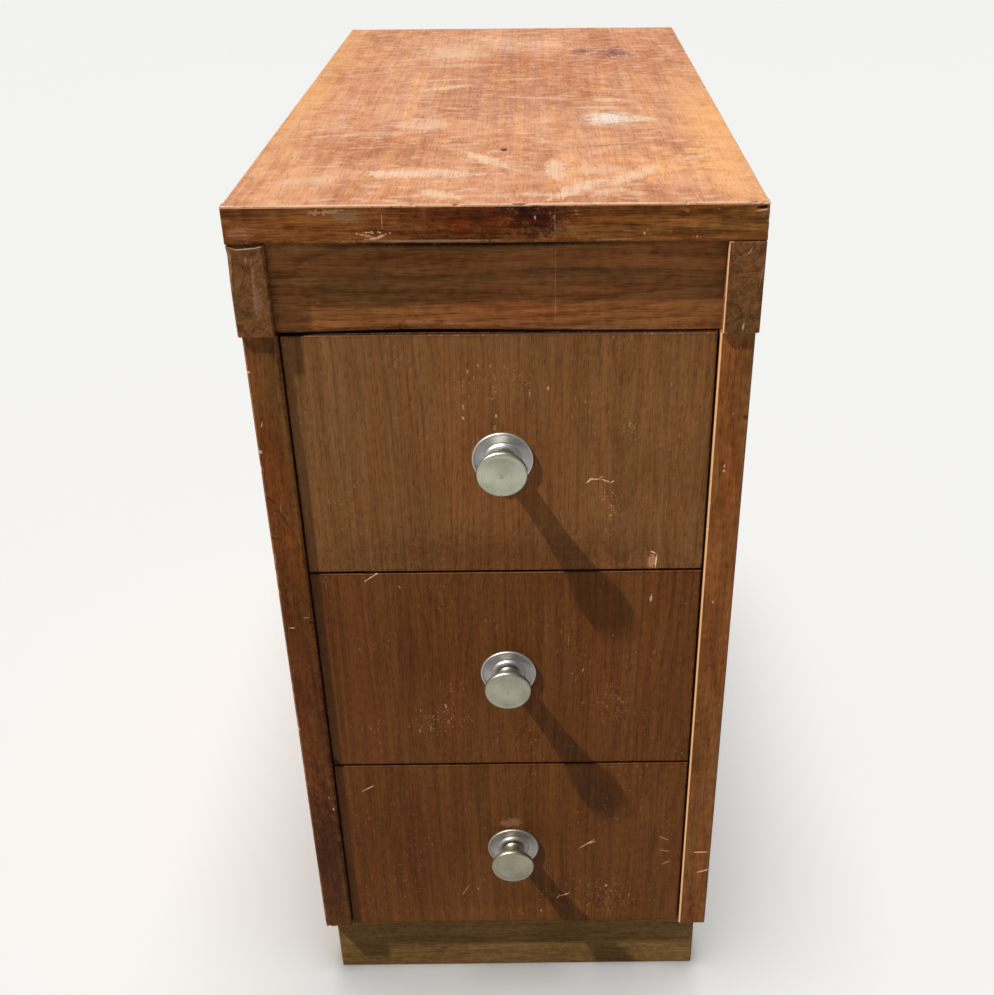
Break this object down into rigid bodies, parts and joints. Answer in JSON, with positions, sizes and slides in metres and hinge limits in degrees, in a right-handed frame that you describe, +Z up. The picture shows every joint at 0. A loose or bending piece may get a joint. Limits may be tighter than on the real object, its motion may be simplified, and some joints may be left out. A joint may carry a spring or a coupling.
{
  "type": "drawer cabinet",
  "caption": "Tall narrow wooden pedestal cabinet with flush drawers on side runners, round metal knobs and a recessed plinth.",
  "frame": {"origin": "on the floor, under the middle of the whole cabinet's box, with the knobs counted in", "axes": "+Z up; +Y from the front to the back, so the drawers open towards -Y; +X to the right of someone facing the front"},
  "size_m": [0.354, 0.612, 0.7645],
  "materials": {
    "drawer_box_wood": "planed bare wood",
    "drawer_front_veneer": "aged varnish over vertical-grained veneer",
    "frieze_wood": "worn varnish on solid wood",
    "inner_wood": "planed bare wood",
    "knob_metal": "aged nickel plate, lightly polished",
    "lipping": "worn varnish on solid wood",
    "plate_metal": "aged nickel plate, dulled",
    "plinth_wood": "aged varnish on solid wood",
    "plywood": "bare plywood",
    "post_wood": "aged reddish varnish on solid wood",
    "rail_wood": "aged varnish on solid wood",
    "runner_wood": "waxed bare hardwood",
    "screw_steel": "dull zinc-plated steel",
    "side_panel_veneer": "aged varnish over veneered plywood",
    "top_veneer": "worn varnish over straight-grained veneer"
  },
  "bodies": {
    "cabinet": {"back_bottom_rail": "inner_wood", "back_panel": "plywood", "back_panel_pins": "screw_steel", "back_post_left": "post_wood", "back_post_right": "post_wood", "back_top_rail": "inner_wood", "bottom_board": "plywood", "bottom_rail_left": "post_wood", "bottom_rail_right": "post_wood", "frieze_rail_left": "frieze_wood", "frieze_rail_right": "frieze_wood", "front_post_left": "post_wood", "front_post_right": "post_wood", "front_rail": "rail_wood", "plinth_back": "plinth_wood", "plinth_corner_blocks": "inner_wood", "plinth_front": "plinth_wood", "plinth_left": "plinth_wood", "plinth_right": "plinth_wood", "runner_left_1": "runner_wood", "runner_left_2": "runner_wood", "runner_left_3": "runner_wood", "runner_right_1": "runner_wood", "runner_right_2": "runner_wood", "runner_right_3": "runner_wood", "runner_screws": "screw_steel", "side_panel_left": "side_panel_veneer", "side_panel_right": "side_panel_veneer", "top_board": "top_veneer", "top_button_screws": "screw_steel", "top_buttons": "inner_wood", "top_front_lipping": "lipping", "top_side_lipping_left": "lipping", "top_side_lipping_right": "lipping"},
    "drawer_1": {"drawer_1_back": "drawer_box_wood", "drawer_1_bottom": "plywood", "drawer_1_front": "drawer_front_veneer", "drawer_1_knob": "knob_metal", "drawer_1_knob_plate": "plate_metal", "drawer_1_knob_screw": "screw_steel", "drawer_1_side_left": "drawer_box_wood", "drawer_1_side_right": "drawer_box_wood"},
    "drawer_2": {"drawer_2_back": "drawer_box_wood", "drawer_2_bottom": "plywood", "drawer_2_front": "drawer_front_veneer", "drawer_2_knob": "knob_metal", "drawer_2_knob_plate": "plate_metal", "drawer_2_knob_screw": "screw_steel", "drawer_2_side_left": "drawer_box_wood", "drawer_2_side_right": "drawer_box_wood"},
    "drawer_3": {"drawer_3_back": "drawer_box_wood", "drawer_3_bottom": "plywood", "drawer_3_front": "drawer_front_veneer", "drawer_3_knob": "knob_metal", "drawer_3_knob_plate": "plate_metal", "drawer_3_knob_screw": "screw_steel", "drawer_3_side_left": "drawer_box_wood", "drawer_3_side_right": "drawer_box_wood"}
  },
  "joints": [
    {"name": "drawer_1_slide", "type": "slide", "parent": "cabinet", "child": "drawer_1", "axis": [0, -1, 0], "range_m": [0, 0.4]},
    {"name": "drawer_2_slide", "type": "slide", "parent": "cabinet", "child": "drawer_2", "axis": [0, -1, 0], "range_m": [0, 0.4]},
    {"name": "drawer_3_slide", "type": "slide", "parent": "cabinet", "child": "drawer_3", "axis": [0, -1, 0], "range_m": [0, 0.4]}
  ]
}
